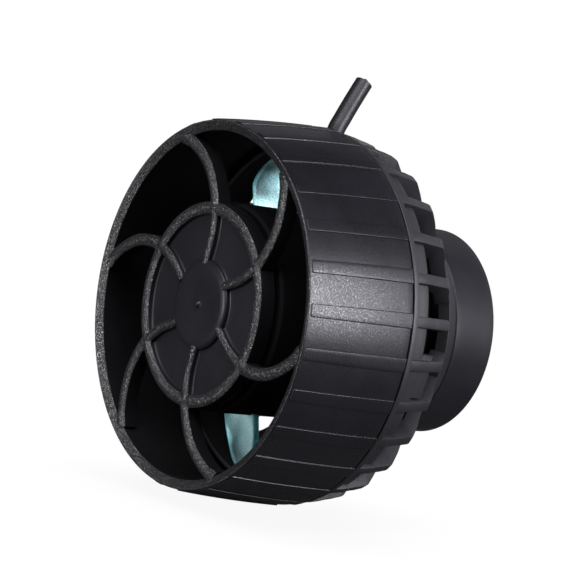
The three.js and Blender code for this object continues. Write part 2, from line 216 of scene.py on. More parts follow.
def aqua(name, deep, pale):
    """frosted translucent plastic whose grain runs from the deep colour to the pale one, with a
    round patch of painted shade
    """
    material, tree, shader, vector = new_material(name)
    grain = noise(tree, vector, scale=3000.0, detail=2.0, rough=0.7)
    cloud = noise(tree, vector, scale=110.0, detail=2.0, rough=0.5)
    color = mix_color(tree, remap(tree, grain, span=(0.43, 0.57), to=(0.0, 1.0)), deep, pale)
    # painted shade: a darker round patch standing in for shadow on the frosted blades, centred at
    # this x and this distance above or below the axis
    split = add_node(tree, "SeparateXYZ", {0: vector})
    height = calc(tree, "ABSOLUTE", split.outputs["Z"])
    flat = add_node(tree, "CombineXYZ", {0: split.outputs["X"], 1: height})
    from_painted_shade = add_node(tree, "VectorMath", {0: flat.outputs[0], 1: (-0.0085, 0.0372, 0.0)},
                          operation="DISTANCE").outputs["Value"]
    painted_shade = mix_color(tree, remap(tree, from_painted_shade, span=(0.0005, 0.0085), to=(0.0, 1.0)),
                      (0.28, 0.38, 0.42, 1), (1, 1, 1, 1))
    set_inputs(tree, shader, {
        "Base Color": mix_color(tree, 1.0, color, painted_shade, blend_type="MULTIPLY"),
        "Roughness": remap(tree, cloud, span=(0.3, 0.7), to=(0.46, 0.56)),
        "Transmission Weight": 0.93,
        "IOR": 1.16,
        "Normal": bump(tree, grain, strength=0.9, distance=0.0003),
    })
    return material


RING_PLASTIC = moulded("ring_grain", (0.0062, 0.0062, 0.0080), rough=0.31, grain_mm=0.32,
                       grain=0.12, speck=0.22, glint_fleck=0.006)
GRILLE_PLASTIC = moulded("grille_grain", (0.0075, 0.0075, 0.0088), rough=0.33, grain_mm=0.40,
                         grain=1.1, speck=2.8, glint_fleck=0.042)
PLATE_PLASTIC = moulded("grille_smooth", (0.0062, 0.0060, 0.0090), rough=0.40, grain_mm=0.22,
                        grain=0.05, wave=0.05, spec=0.36)
INSIDE_PLASTIC = moulded("ring_inside", (0.0045, 0.0045, 0.0052), rough=0.34, grain_mm=0.25,
                         grain=0.05, wave=0.08, spec=0.4)
CAGE_PLASTIC = moulded("cage_plastic", (0.0115, 0.0115, 0.0135), rough=0.44, grain_mm=0.28,
                       grain=0.15, wave=0.05, spec=0.50)
CUP_PLASTIC = moulded("cup_plastic", (0.0100, 0.0100, 0.0122), rough=0.40, grain_mm=0.30,
                      grain=0.04, wave=0.30, spec=0.24)
BODY_PLASTIC = moulded("motor_plastic", (0.0028, 0.0028, 0.0034), rough=0.72, grain_mm=0.30,
                       grain=0.15, wave=0.04, spec=0.10)
RUBBER = moulded("rubber_pad", (0.018, 0.018, 0.018), rough=0.72, grain_mm=0.35,
                 grain=0.25, spec=0.35)
CABLE_JACKET = moulded("cable_jacket", (0.0060, 0.0060, 0.0075), rough=0.42, grain_mm=0.40,
                       grain=0.06, wave=0.1, spec=0.4)
STEEL = metal("bare_steel", (0.60, 0.60, 0.61), rough=0.32)
NICKEL = metal("nickel_magnet", (0.50, 0.50, 0.52), rough=0.28)
LAMINATIONS = metal("steel_laminations", (0.36, 0.37, 0.39), rough=0.42, brushed=0.6)
COPPER = copper_winding()
CERAMIC = ceramic()
BOARD = circuit_board()
AQUA = aqua("propeller_aqua", deep=(0.10, 0.42, 0.48, 1), pale=(0.84, 0.98, 1.0, 1))
AQUA_EDGE = aqua("propeller_aqua_edge", deep=(0.005, 0.16, 0.20, 1), pale=(0.02, 0.30, 0.34, 1))


# ------------------------------------------------------------------ mesh helpers (mm in, m out)
def shade(mesh, angle=38.0):
    """smooth shading, with edges sharper than the angle kept crisp"""
    mesh.polygons.foreach_set("use_smooth", np.ones(len(mesh.polygons), bool))
    mesh.set_sharp_from_angle(angle=math.radians(angle))
    mesh.update()


def fix_normals(mesh):
    bm = bmesh.new()
    bm.from_mesh(mesh)
    bmesh.ops.remove_doubles(bm, verts=bm.verts, dist=2e-7)
    bmesh.ops.recalc_face_normals(bm, faces=bm.faces)
    bm.to_mesh(mesh)
    bm.free()


def make_object(name, verts, faces, mats, slots=None):
    """slots holds each face's material slot; without it all faces use the first"""
    mesh = bpy.data.meshes.new(name)
    mesh.from_pydata([(x * MM, y * MM, z * MM) for x, y, z in verts], [], faces)
    mesh.validate()
    for mat in mats:
        mesh.materials.append(mat)
    if slots:
        mesh.polygons.foreach_set("material_index", np.asarray(slots, np.int32))
    made = bpy.data.objects.new(name, mesh)
    bpy.context.scene.collection.objects.link(made)
    fix_normals(mesh)
    shade(mesh)
    return made


def fillet(corners, segments):
    """a closed polygon of (x, y, corner radius) with its corners rounded"""
    spots = [np.array(corner[:2], float) for corner in corners]
    rounded = []
    for i, (_, _, radius) in enumerate(corners):
        corner = spots[i]
        if radius <= 0:
            rounded.append(tuple(corner))
            continue
        before, after = spots[i - 1] - corner, spots[(i + 1) % len(spots)] - corner
        before_len, after_len = np.linalg.norm(before), np.linalg.norm(after)
        before, after = before / before_len, after / after_len
        angle = math.acos(float(np.clip(before @ after, -1, 1)))
        if angle > math.pi - 0.03:              # all but straight
            rounded.append(tuple(corner))
            continue
        cut = min(radius / math.tan(angle / 2), before_len * 0.48, after_len * 0.48)
        radius = cut * math.tan(angle / 2)
        inward = (before + after) / np.linalg.norm(before + after)
        centre = corner + inward * (radius / math.sin(angle / 2))
        first, last = corner + before * cut - centre, corner + after * cut - centre
        cosine = first @ last / (np.linalg.norm(first) * np.linalg.norm(last))
        sweep = math.acos(float(np.clip(cosine, -1, 1)))
        count = max(2, int(math.ceil(segments * sweep / (math.pi / 2))) + 1)
        for j in range(count):
            part = j / (count - 1)
            arm = math.sin((1 - part) * sweep) * first + math.sin(part * sweep) * last
            rounded.append(tuple(centre + arm / max(math.sin(sweep), 1e-9)))
    return rounded


def rounded_rect(x0, x1, y0, y1, radius, segments):
    spots = [(x0, y0), (x1, y0), (x1, y1), (x0, y1)]
    return fillet([(x, y, radius) for x, y in spots], segments)


def turned(corners, segments, longest):
    """a filleted profile with long stretches split, so that the turned quads stay near square"""
    points = fillet(corners, segments)
    split = []
    for i, point in enumerate(points):
        start, end = np.array(point), np.array(points[(i + 1) % len(points)])
        split.append(tuple(start))
        cuts = int(np.linalg.norm(end - start) // longest)
        split += [tuple(start + (end - start) * j / (cuts + 1)) for j in range(1, cuts + 1)]
    return split


def lathe(name, profile, steps, mats, slot_at=None):
    """turns a closed (radius, y) profile round Y; slot_at(radius, y) gives a face's material"""
    angles = [2 * math.pi * (k + 0.5) / steps for k in range(steps)]
    verts, rings = [], []
    for radius, y in profile:
        if radius <= 1e-6:                      # a pole on the axis
            rings.append([len(verts)])
            verts.append((0.0, y, 0.0))
        else:
            rings.append(list(range(len(verts), len(verts) + steps)))
            verts += [(radius * math.cos(a), y, radius * math.sin(a)) for a in angles]
    faces, slots = [], []
    for i, near in enumerate(rings):
        j = (i + 1) % len(rings)
        far = rings[j]
        if len(near) == 1 and len(far) == 1:
            continue
        middle = [(p + q) / 2 for p, q in zip(profile[i], profile[j])]
        slots += [slot_at(*middle) if slot_at else 0] * steps
        for k in range(steps):
            after = (k + 1) % steps
            if len(near) == 1:
                faces.append((near[0], far[after], far[k]))
            elif len(far) == 1:
                faces.append((near[k], near[after], far[0]))
            else:
                faces.append((near[k], near[after], far[after], far[k]))
    return make_object(name, verts, faces, mats, slots)


def loft(rings, closed=False):
    """skins rings of equal length, capped at both ends or closed on themselves"""
    count, total = len(rings[0]), len(rings)
    verts = [point for ring in rings for point in ring]
    faces = []
    for i in range(total if closed else total - 1):
        near, far = i * count, (i + 1) % total * count
        for j in range(count):
            k = (j + 1) % count
            faces.append((near + j, near + k, far + k, far + j))
    if not closed:
        faces.append(tuple(range(count)))
        faces.append(tuple(range((total - 1) * count, total * count))[::-1])
    return verts, faces


def loft_object(name, rings, mats, slot=0, closed=False):
    verts, faces = loft(rings, closed)
    return make_object(name, verts, faces, mats, [slot] * len(faces) if slot else None)


def merged(lofts):
    verts, faces = [], []
    for more_verts, more_faces in lofts:
        offset = len(verts)
        verts += more_verts
        faces += [tuple(i + offset for i in face) for face in more_faces]
    return verts, faces


def rot_y(points, degrees):
    """turns points round Y so that +X goes towards +Z"""
    cos, sin = math.cos(math.radians(degrees)), math.sin(math.radians(degrees))
    return [(x * cos - z * sin, y, x * sin + z * cos) for x, y, z in points]


def circle(radius, steps, across=0.0, along=0.0):
    angles = [2 * math.pi * k / steps for k in range(steps)]
    return [(across + radius * math.cos(a), along + radius * math.sin(a)) for a in angles]


def mirrored(points):
    return [(-across, other) for across, other in reversed(points)]


def sector(name, radii, ys, angles, mats, slot=0):
    """a rounded rectangle in (radius, y) swept round Y between two angles in degrees"""
    steps = 8
    section = [(radius, y, 0.0) for radius, y in rounded_rect(*radii, *ys, 0.15, 2)]
    start, end = angles
    rings = [rot_y(section, start + (end - start) * i / steps) for i in range(steps + 1)]
    return loft_object(name, rings, mats, slot)


def box(name, xs, ys, zs, mats, bevel, degrees=0.0):
    """a bevelled box, turned round Y"""
    section = rounded_rect(*ys, *zs, bevel, 3)
    mid_y, mid_z = sum(ys) / 2, sum(zs) / 2
    half_y, half_z = (ys[1] - ys[0]) / 2, (zs[1] - zs[0]) / 2
    x0, x1 = xs
    # x, and the inset of the section there in bevels
    stations = [(x0, 0.5), (x0 + bevel * 0.3, 0.2), (x0 + bevel, 0.0),
                (x1 - bevel, 0.0), (x1 - bevel * 0.3, 0.2), (x1, 0.5)]
    rings = []
    for x, inset in stations:
        scale_y = (half_y - inset * bevel) / half_y
        scale_z = (half_z - inset * bevel) / half_z
        ring = [(x, mid_y + (y - mid_y) * scale_y, mid_z + (z - mid_z) * scale_z)
                for y, z in section]
        rings.append(rot_y(ring, degrees))
    return loft_object(name, rings, mats)


def boolean(base, tools, operation="UNION"):
    """applies the tools to the base, then removes them"""
    for tool in tools:
        modifier = base.modifiers.new("b", "BOOLEAN")
        modifier.operation = operation
        modifier.object = tool
        modifier.solver = "MANIFOLD"
    bpy.context.view_layer.update()
    graph = bpy.context.evaluated_depsgraph_get()
    result = bpy.data.meshes.new_from_object(base.evaluated_get(graph))
    base.modifiers.clear()
    old = base.data
    base.data = result
    bpy.data.meshes.remove(old)
    for tool in tools:
        mesh = tool.data
        bpy.data.objects.remove(tool)
        bpy.data.meshes.remove(mesh)
    return base


def place(piece, body, node, angle=38.0):
    """names the piece after the CAD node it replaces and hands it over"""
    piece.name = node + "_fine"
    shade(piece.data, angle)
    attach(piece, body)
    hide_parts(node)


def interp(table, x):
    return float(np.interp(x, *zip(*table)))


# ------------------------------------------------------------------ front shroud
# the dark motor plastic in the last slot is painted shade on the outer spokes' flanks
SHROUD_MATS = [RING_PLASTIC, GRILLE_PLASTIC, PLATE_PLASTIC, INSIDE_PLASTIC, BODY_PLASTIC]
RING_SLOT, GRILLE_SLOT, PLATE_SLOT, INSIDE_SLOT, SHADED_FLANK_SLOT = range(5)
LIP_IN = (47.2, rim_y(0.0205))      # radius and y of the front bevel's inner edge
LIP_OUT = (49.93, rim_y(-0.0055))   # and of its outer edge
PLATE_BACK = 0.0500                 # back of the wheel's web, depth in ring radii


def ring_radius(depth):
    part = depth / RING_DEPTH
    return RING_R * (1.0 + 0.049 * part + 0.007 * 4 * part * (1 - part))


def ring_slot(radius, y):
    slope = (LIP_OUT[1] - LIP_IN[1]) / (LIP_OUT[0] - LIP_IN[0])
    bevel_y = LIP_IN[1] + (radius - LIP_IN[0]) * slope
    if y < rim_y(0.024) and radius > 47.15 and y < bevel_y + 0.25:
        return GRILLE_SLOT
    return RING_SLOT if radius > 49.9 else INSIDE_SLOT


def build_ring():
    outer = [(ring_radius(depth), rim_y(depth), 0.0)
             for depth in np.linspace(0.012, RING_DEPTH, 18)]
    outer[-1] = outer[-1][:2] + (0.12,)
    back = rim_y(RING_DEPTH)
    # radius, y, corner radius
    corners = [(*LIP_IN, 0.25), (*LIP_OUT, 0.32), *outer,
               (49.6, back, 0.2), (49.6, back - 5.0, 0.0), (48.8, back - 5.6, 0.3)]
    return lathe("ring", turned(corners, 5, 2.5), RIBS * 12, SHROUD_MATS, ring_slot)


RIB_HEIGHT = 0.30
# the ribs' front ends: depth in ring radii, narrowing of each side, height
RIB_NOSE = [(0.0125, 0.30, 0.14), (0.0135, 0.12, 0.27), (0.0155, 0.02, 0.30)]


def rib_section(half, radius, height):
    """(distance round the ring, radius) across a low rib with rounded shoulders"""
    corner = min(0.17, height * 0.6)
    crest = radius + height
    shoulder = [(half - corner + corner * math.sin(turn), crest - corner + corner * math.cos(turn))
                for turn in (0.0, 0.35, 0.75, 1.15, 1.5)]
    right = shoulder + [(half + 0.015, radius + 0.05), (half + 0.06, radius - 0.01),
                        (half + 0.06, radius - 0.9)]
    crown = [(-half * 0.4, crest), (0.0, crest), (half * 0.4, crest)]
    return mirrored(right) + crown + right


def build_ribs():
    depths = np.linspace(0.02, RING_DEPTH - 0.0004, 22)
    stations = RIB_NOSE + [(depth, 0.0, RIB_HEIGHT) for depth in depths]
    rings = []
    for depth, trim, height in stations:
        half = (3.3 + 0.45 * depth / RING_DEPTH) / 2 - trim
        section = rib_section(half, ring_radius(depth), height)
        rings.append([(radius * math.cos(around / RING_R), rim_y(depth),
                       radius * math.sin(around / RING_R)) for around, radius in section])
    verts, faces = merged(loft([rot_y(ring, (k + 0.5) * RIB_STEP) for ring in rings])
                          for k in range(RIBS))
    return make_object("ribs", verts, faces, SHROUD_MATS)


# the middle disc and the round rail outside it: radius, depth in ring radii, corner radius
WHEEL = [
    (0.0, -0.0042, 0), (0.55, -0.0036, 0.3), (0.85, 0.004, 0.2), (1.05, 0.0125, 0.3),
    (10.35, 0.0130, 1.5), (11.5, 0.0175, 1.2), (12.2, 0.0285, 0.5), (12.2, PLATE_BACK, 0.45),
    (24.5, PLATE_BACK, 0.45), (24.5, 0.0215, 0.18), (25.2, 0.0135, 1.0), (26.2, 0.0100, 1.5),
    (27.2, 0.0135, 1.0), (27.9, 0.0215, 0.18), (27.9, 0.110, 0.2),
    (24.5, 0.110, 0.1), (24.5, 0.090, 0.2), (7.0, 0.090, 0.2), (7.0, 0.110, 0.2),
    (4.2, 0.110, 0.2), (4.2, 0.035, 0.1), (0.0, 0.035, 0),
]


def wheel_slot(radius, y):
    rail_face = rim_y(0.0232)
    if 24.45 < radius < 27.95 and y < rail_face:
        return GRILLE_SLOT
    if radius > 24.55 and y > rail_face or y > rim_y(0.0505):
        return INSIDE_SLOT
    return PLATE_SLOT


def build_wheel():
    corners = [(radius, rim_y(depth), corner) for radius, depth, corner in WHEEL]
    return lathe("wheel", turned(corners, 5, 2.2), 240, SHROUD_MATS, wheel_slot)


# the spokes' curve: radius in ring radii, angle in degrees
SPOKE_CURVE = np.array([
    (.20, 32.5), (.25, 31.5), (.30, 29.6), (.35, 28.3), (.40, 28.2), (.45, 28.7),
    (.50, 29.6), (.55, 30.8), (.60, 32.3), (.65, 34.5), (.70, 36.7), (.75, 39.2),
    (.80, 42.2), (.85, 45.4), (.90, 48.8), (.95, 52.5), (.98, 54.8)])


def spoke_angle(radius):
    """smooths the curve with a local quadratic fit"""
    weights = np.exp(-((SPOKE_CURVE[:, 0] - radius) / 0.045) ** 2)
    fit = np.polyfit(SPOKE_CURVE[:, 0], SPOKE_CURVE[:, 1], 2, w=np.sqrt(weights) + 1e-4)
    return float(np.polyval(fit, radius))


def outer_width(radius):
    """flares at the ring and at the rail"""
    at_ring = max(0.0, min(radius, 0.955) - 0.90) / 0.055
    at_rail = max(0.0, 0.60 - max(radius, 0.555)) / 0.045
    return 3.4 + 1.1 * at_ring ** 2 + 0.5 * at_rail ** 2


def inner_width(radius):
    return 2.45 + 0.5 * (radius - 0.24) / 0.26


def outer_side(half):
    back = rim_y(0.104)
    return [(half + 0.04, back - 0.2), (half - 0.16, back)]


def inner_side(half):
    """runs out into the wheel's web through a quarter-round"""
    foot = 0.45
    turns = [part * math.pi / 2 for part in (0.0, 0.35, 0.7, 1.0)]
    return [(half + foot * (1 - math.cos(turn)), rim_y(PLATE_BACK) - foot * (1 - math.sin(turn)))
            for turn in turns] + [(half + foot, rim_y(0.070))]


def build_spoke(name, turn, start, end, width, side, side_slot):
    """a curved spoke; start and end are in ring radii, side gives the flank of its section"""
    radii = np.linspace(start, end, int((end - start) * 60))
    centre = []
    for radius in radii:
        angle = math.radians(spoke_angle(radius) + turn)
        centre.append((radius * RING_R * math.cos(angle), radius * RING_R * math.sin(angle)))
    rings = []
    for i, (x, z) in enumerate(centre):
        before, after = centre[max(0, i - 1)], centre[min(len(centre) - 1, i + 1)]
        step_x, step_z = after[0] - before[0], after[1] - before[1]
        length = math.hypot(step_x, step_z)
        normal_x, normal_z = -step_z / length, step_x / length
        half = width(radii[i]) / 2
        right = [(half * 0.36, rim_y(0.0113)), (half * 0.72, rim_y(0.0152)),
                 (half - 0.10, rim_y(0.0200)), (half, rim_y(0.0225))]
        crown = mirrored(right) + [(0.0, rim_y(0.0100))] + right
        flank = side(half)
        rings.append([(x + normal_x * across, y, z + normal_z * across)
                      for across, y in crown + flank + mirrored(flank)])
    verts, faces = loft(rings)
    crown_faces = len(crown) - 1
    strip = [GRILLE_SLOT] * crown_faces + [side_slot] * (len(rings[0]) - crown_faces)
    slots = strip * (len(rings) - 1) + [side_slot] * 2
    return make_object(name, verts, faces, SHROUD_MATS, slots)


ring = build_ring()
shroud_parts = [build_ribs(), build_wheel()]
for k in range(6):
    # the outer spokes' flanks are painted shade, in the dark motor plastic
    shroud_parts.append(build_spoke("spoke%d" % k, k * 60, 0.535, 0.965,
                                    outer_width, outer_side, SHADED_FLANK_SLOT))
    shroud_parts.append(build_spoke("inner%d" % k, k * 60, 0.225, 0.530,
                                    inner_width, inner_side, PLATE_SLOT))
for angle in LATCH_ANGLES:
    shroud_parts.append(sector("hook", (48.75, 50.6), (-52.0, -50.75), (angle - 6, angle + 6),
                               SHROUD_MATS, INSIDE_SLOT))
place(boolean(ring, shroud_parts), "shroud", "front_shroud", angle=32.0)

# ------------------------------------------------------------------ propeller
BLADES = 4
BLADE_THICK = 1.8
BLADE_EDGE_R = 0.42                 # rolled edge of a blade
BLADE_ROOT, BLADE_TIP = 25.2, 45.0  # radii
BLADE_SPAN = 52.0                   # degrees from leading to trailing edge
LEAD_ANGLE = 106.0                  # leading edge of the first blade, degrees
LEAD_Y, TRAIL_Y = rim_y(0.395), rim_y(0.655)
BLADE_STARTS = [LEAD_ANGLE - 360 // BLADES * k for k in range(BLADES)]
AQUA_MATS = [AQUA, AQUA_EDGE]
# place along the blade with the leading edge at 0, outer radius there
BLADE_OUTLINE = [
    (0.0, 35.2), (0.019, 36.9), (0.046, 38.4), (0.073, 39.45), (0.108, 40.6), (0.141, 41.5),
    (0.163, 42.05), (0.22, 43.0), (0.30, 43.8), (0.38, 44.25), (0.45, 44.3), (0.528, 44.0),
    (0.628, 43.1), (0.704, 42.35), (0.788, 41.75), (0.878, 41.45), (0.96, 41.3), (1.12, 41.1)]


def blade_point(along, radius, start):
    rise = (radius - BLADE_ROOT) / (BLADE_TIP - BLADE_ROOT)
    angle = math.radians(start - BLADE_SPAN * along + rise * rise * 5 * max(along, 0.0))
    y = LEAD_Y + (TRAIL_Y - LEAD_Y) * along
    return np.array([radius * math.cos(angle), y, radius * math.sin(angle)])


def blade_place(part, height):
    """(along, radius) for a part of the length and a height from root to outline

    The trailing edge rakes back towards the tip, so the two are found together by repetition.
    """
    along = part
    for _ in range(4):
        radius = 25.3 + (interp(BLADE_OUTLINE, along) - 25.3) * height
        along = part + 0.11 * min(1.0, max(0.0, (radius - 29.2) / 12)) * part * part
    return along, radius


def build_blade(start, name):
    margin = 0.016                  # part of the length given to each rolled edge
    edge = np.array([0.0, 0.10, 0.30, 0.62]) * margin
    parts = [*edge, *np.linspace(margin, 1 - margin, 44), *(1 - edge[::-1])]
    heights = [*np.linspace(0.0, 0.965, 16), 0.979, 0.989, 0.996, 1.0]
    rows, columns = len(parts), len(heights)
    grid = [[blade_point(*blade_place(part, height), start) for height in heights]
            for part in parts]
    front, back = [], []
    for i in range(rows):
        for j in range(columns):
            lengthwise = grid[min(rows - 1, i + 1)][j] - grid[max(0, i - 1)][j]
            outward = grid[i][min(columns - 1, j + 1)] - grid[i][max(0, j - 1)]
            normal = np.cross(lengthwise, outward)
            normal /= np.linalg.norm(normal)
            point = grid[i][j]
            to_edge = min(np.linalg.norm(point - border)
                          for border in (grid[0][j], grid[-1][j], grid[i][-1]))
            inset = max(0.0, BLADE_EDGE_R - to_edge) / BLADE_EDGE_R
            half = BLADE_THICK / 2 - BLADE_EDGE_R + BLADE_EDGE_R * math.sqrt(1 - inset ** 2)
            front.append(tuple(point + normal * half))
            back.append(tuple(point - normal * half))
    other = len(front)              # offset from a front vertex to the one behind it
    faces, slots = [], []
    for i in range(rows - 1):
        for j in range(columns - 1):
            a = i * columns + j
            b = a + columns
            faces.append((a, a + 1, b + 1, b))
            faces.append((other + a, other + b, other + b + 1, other + a + 1))
            slots += [0, 0]
    for i in range(rows - 1):
        for j in (0, columns - 1):
            a = i * columns + j
            b = a + columns
            faces.append((a, b, other + b, other + a))
            slots.append(1)
    for j in range(columns - 1):
        for i in (0, rows - 1):
            a = i * columns + j
            faces.append((a, other + a, other + a + 1, a + 1))
            slots.append(1)
    return make_object(name, front + back, faces, AQUA_MATS, slots)


sleeve = lathe("sleeve", rounded_rect(24.6, 26.2, rim_y(0.30), rim_y(0.66), 0.3, 4), 192,
               AQUA_MATS)
blades = [build_blade(start, "blade%d" % k) for k, start in enumerate(BLADE_STARTS)]
propeller = boolean(sleeve, blades)
place(propeller, "rotor", "propeller", angle=40.0)
# keeps the aqua out of the black walls round it
propeller.visible_glossy = False
propeller.visible_diffuse = False


def slot_cutter(start):
    """the root of a blade, grown by a small gap, to cut its slot in the hub"""
    gap, steps, outside = 0.3, 26, 31.0
    half = BLADE_THICK / 2 + gap
    rings = []
    for i in range(steps):
        along = -0.03 + 1.06 * i / (steps - 1)
        ring = []
        for side, radius in ((1, BLADE_ROOT), (1, outside), (-1, outside), (-1, BLADE_ROOT)):
            x, y, z = blade_point(along, radius, start)
            slope = (TRAIL_Y - LEAD_Y) / (math.radians(BLADE_SPAN) * radius)
            ring.append((x, y + side * (half * math.sqrt(1 + slope * slope)), z))
        rings.append(ring)
    return loft_object("slot_cut", rings, [BODY_PLASTIC])


# radius, y, corner radius
HUB = [(3.4, -75.2, 0.2), (27.9, -75.2, 0.4), (28.6, -74.4, 0.4), (28.6, rim_y(0.665), 0.25),
       (26.6, rim_y(0.665), 0.25), (26.6, -73.2, 0.6), (6, -73.2, 0.4), (6, -68, 0.2),
       (3.4, -68, 0.2)]
hub = lathe("propeller_hub_fine", turned(HUB, 4, 2.5), 200, [BODY_PLASTIC])
hub = boolean(hub, [slot_cutter(start) for start in BLADE_STARTS], "DIFFERENCE")
place(hub, "rotor", "propeller_hub")

# ------------------------------------------------------------------ intake cage
# the second material, the dark motor plastic, is painted shade on the collar between the fins
CAGE_MATS = [CAGE_PLASTIC, BODY_PLASTIC]
# depth and outer radius of a fin, both in ring radii
FIN_OUTER = [(.687, 1.040), (.733, 1.037), (.783, 1.030), (.823, 1.021), (.863, 1.015),
             (.893, 1.008), (.917, 1.003), (.932, .996), (.947, .981), (.972, .955),
             (1.000, .925), (1.022, .900), (1.047, .868), (1.082, .825), (1.245, .646)]
# y and inner radius
FIN_INNER = [(rim_y(0.677), 46.9), (rim_y(0.687), 46.9), (-38.1, 44.9), (-35.4, 43.2),
             (-23.2, 29.7), (-18.6, 29.7)]
# depth in ring radii, thickness in mm
FIN_THICK = [(0.677, 2.9), (0.930, 2.9), (0.95, 2.8), (1.00, 2.45), (1.07, 2.0), (1.14, 1.6),
             (1.20, 1.2), (1.25, 0.8)]
# depths of the fin's sections, in ring radii
FIN_DEPTHS = [0.677, 0.687, 0.705, 0.733, 0.76, 0.783, 0.803, 0.823, 0.843, 0.863, 0.878, 0.893,
              0.907, 0.917, 0.925, 0.932, 0.94, 0.947, 0.958, 0.972, 0.985, 1.0, 1.022, 1.047,
              1.08, 1.12, 1.16, 1.2, 1.22, 1.235]
# radius, y, corner radius
BAND = [(46.9, -53.6, 0.2), (48.3, -53.6, 0.4), (48.3, -50.1, 0.2), (50.2, -50.1, 0.1),
        (50.2, -49.6, 0.1), (52.2, -49.6, 0.25), (52.2, rim_y(0.687), 0.2),
        (50.6, rim_y(0.690), 0.2), (50.4, rim_y(0.783), 0.3), (46.6, rim_y(0.783), 0.2)]
COLLAR = [(28.8, -23.5, 0.2), (31.4, -23.5, 0.3), (32.4, rim_y(1.240), 0.4),
          (31.9, rim_y(1.258), 0.6), (29.4, -15.4, 0.15), (28.8, -15.4, 0.15)]


def build_fin(degrees):
    bevel = 0.30
    rings = []
    for depth in FIN_DEPTHS:
        y = rim_y(depth)
        outer, inner = interp(FIN_OUTER, depth) * RING_R, interp(FIN_INNER, y)
        half = interp(FIN_THICK, depth) / 2
        side = [(inner, half), (outer - bevel, half),
                (outer - bevel * 0.3, half - bevel * 0.3), (outer, half - bevel)]
        section = [(radius, -z) for radius, z in side] + [(outer + 0.02, 0.0)] + side[::-1]
        rings.append(rot_y([(radius, y, z) for radius, z in section], degrees))
    return loft(rings)


def collar_shade_slot(radius, y):
    """painted shade: the dark motor plastic on the outer wall, forward of its rear edge, where shade
    falls between the fins
    """
    return 1 if y < rim_y(1.238) and radius > 29.0 else 0


def build_cage():
    cage = lathe("intake_cage_fine", turned(BAND, 4, 2.0), RIBS * 10, CAGE_MATS)
    collar = lathe("collar", turned(COLLAR, 4, 2.0), RIBS * 8, CAGE_MATS, collar_shade_slot)
    verts, faces = merged(build_fin((k + 0.5) * RIB_STEP) for k in range(RIBS))
    fins = make_object("fins", verts, faces, CAGE_MATS)
    tab = sector("tab", (46.8, 49.9), (rim_y(0.783) - 1.0, rim_y(0.860)), (-17.0, -3.2),
                 CAGE_MATS)
    parts = [collar, fins, tab]
    # name, y of the rear end, angles from the latch: a lug and the stops either side of it
    latch = [("lug", -52.4, -6, 6), ("stop0", -49.9, -10, -7), ("stop1", -49.9, 22.2, 25.2)]
    for angle in LATCH_ANGLES:
        for name, rear, start, end in latch:
            parts.append(sector(name, (47.6, 49.3), (-53.6, rear), (angle + start, angle + end),
                                CAGE_MATS))
    boolean(cage, parts)
    notch = box("notch", (-3.1, 3.1), (-48.4, -42.0), (40, 60), CAGE_MATS, bevel=0.5)
    return boolean(cage, [notch], "DIFFERENCE")


place(build_cage(), "pump_body", "intake_cage", angle=34.0)

# ------------------------------------------------------------------ motor housing
HOUSING_BACK = -19.6
BOSS_CIRCLE = 22.8              # radius on which the four bosses stand
# radius, y, corner radius
HOUSING = [(0, -25.5, 0), (11.5, -25.5, 0.4), (11.5, -48.3, 0.4), (27.3, -48.3, 0.8),
           (28.3, -47.3, 0.8), (28.3, HOUSING_BACK, 0.2), (26.3, HOUSING_BACK, 0.2),
           (26.3, -46.3, 0.6), (13.0, -46.3, 0.3), (13.0, -24.0, 0.3), (0, -24.0, 0)]


def post(name, radius, y0, y1, x, z, steps):
    """a round bar along Y with chamfered ends"""
    chamfer = 0.15
    rings = []
    for y, inset in ((y0, chamfer), (y0 + chamfer, 0.0), (y1 - chamfer, 0.0), (y1, chamfer)):
        rings.append([(px, y, pz) for px, pz in circle(radius - inset, steps, x, z)])
    return loft_object(name, rings, [BODY_PLASTIC])


def build_housing():
    housing = lathe("motor_housing_fine", turned(HOUSING, 4, 2.5), 176, [BODY_PLASTIC])
    adds = [lathe("spigot", [(4.9, -28.6), (6.2, -28.6), (6.2, -25.2), (4.9, -25.2)], 96,
                  [BODY_PLASTIC])]
    gland_hole = [[(x, y, z) for x, y in circle(3.8, 48, 0, GLAND_Y)] for z in (20, 32)]
    cuts = [loft_object("gland_hole", gland_hole, [BODY_PLASTIC])]
    for k in range(4):
        degrees = 45 + 90 * k
        angle = math.radians(degrees)
        x, z = BOSS_CIRCLE * math.cos(angle), BOSS_CIRCLE * math.sin(angle)
        adds.append(post("boss", 2.8, -27.0, HOUSING_BACK, x, z, 48))
        adds.append(box("web", (BOSS_CIRCLE, 27.0), (-27.0, HOUSING_BACK), (-1.5, 1.5),
                        [BODY_PLASTIC], bevel=0.1, degrees=degrees))
        cuts.append(post("pilot", 1.6, -26.0, -19.0, x, z, 32))
    boolean(housing, adds)
    return boolean(housing, cuts, "DIFFERENCE")


place(build_housing(), "pump_body", "motor_housing")

# ------------------------------------------------------------------ rear cup and its pad
# radius, y, corner radius
CUP = [(0, -2.6, 0), (27.1, -2.6, 0.5), (27.1, -15.0, 0.2), (28.85, -15.0, 0.3),
       (29.2, -14.6, 0.3), (29.3, -1.3, 0.45), (28.6, -0.8, 0.35), (24.6, -0.8, 0.15),
       (24.6, -1.6, 0.1), (0, -1.6, 0)]
GROOVES = 6                     # round grooves in the pad's face
GROOVE_PITCH = 3.6


def build_pad():
    corners = [(0, -1.3, 0), (24.2, -1.3, 0.15), (24.2, 0.0, 0.35)]
    for k in range(GROOVES, 0, -1):
        for offset, y in ((0.45, 0.0), (0.25, -0.35), (-0.25, -0.35), (-0.45, 0.0)):
            corners.append((GROOVE_PITCH * k + offset, y, 0.12))
    corners.append((0, 0.0, 0))
    return lathe("glass_pad_fine", fillet(corners, 2), 192, [RUBBER])


cup = lathe("rear_cup_fine", turned(CUP, 5, 2.0), 224, [CUP_PLASTIC])
place(cup, "pump_body", "rear_cup")
place(build_pad(), "pump_body", "glass_pad")

